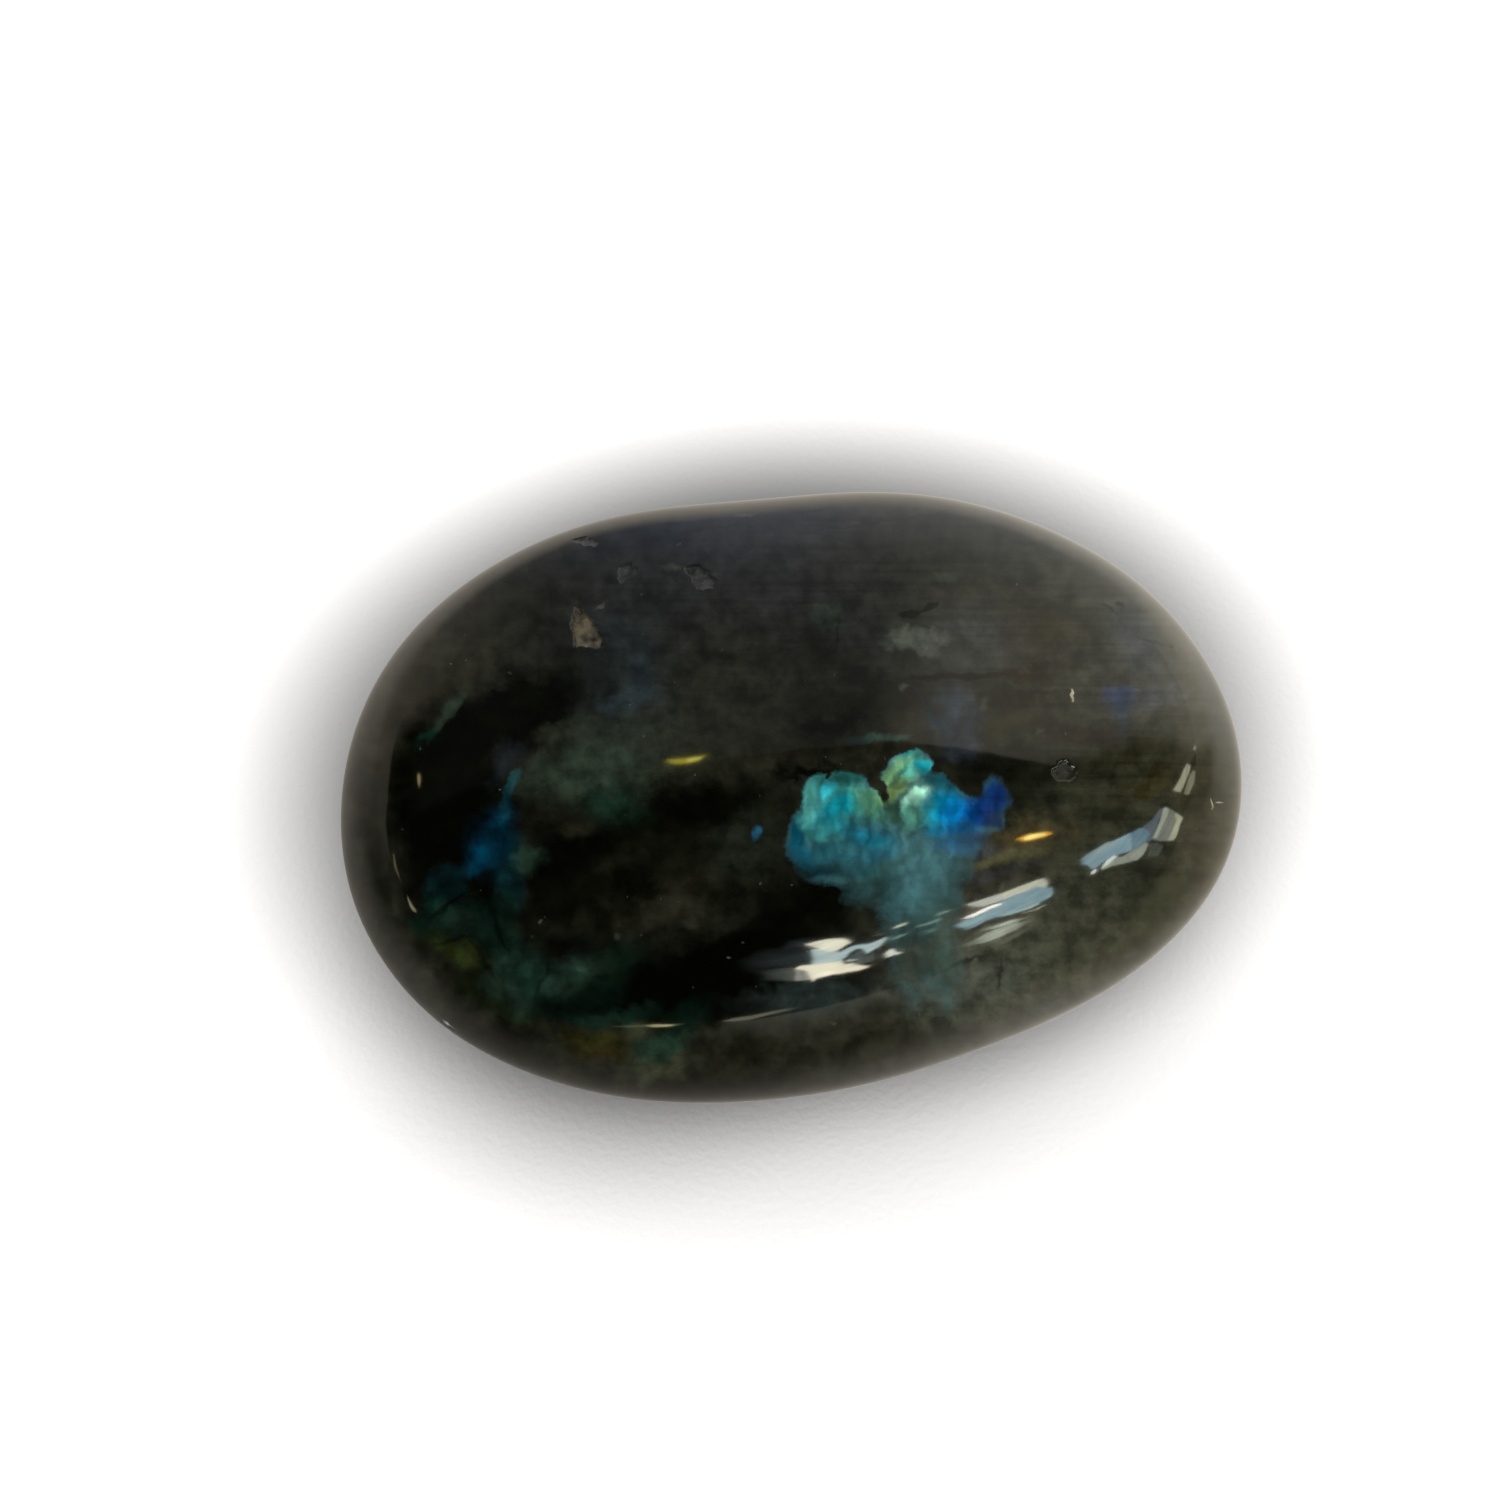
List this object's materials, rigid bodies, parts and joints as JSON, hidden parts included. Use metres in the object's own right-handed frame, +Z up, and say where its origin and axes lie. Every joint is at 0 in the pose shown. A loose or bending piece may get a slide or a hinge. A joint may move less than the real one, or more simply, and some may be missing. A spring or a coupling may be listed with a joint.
{
  "type": "polished labradorite palm stone",
  "caption": "Smooth rounded oval stone, blunt at one end and narrower at the other, polished all over, with small chips, resting on a small ground flat.",
  "frame": {"origin": "on the small flat that the stone rests on, under the middle of its outline", "axes": "+X along the stone's length towards its narrower end, +Y across it, +Z up through the crown"},
  "size_m": [0.07, 0.0494, 0.0304],
  "materials": {
    "labradorite": "glossy polish, dark olive-grey body with blue and green flashes"
  },
  "bodies": {
    "root": {"labradorite": "labradorite"}
  },
  "joints": []
}
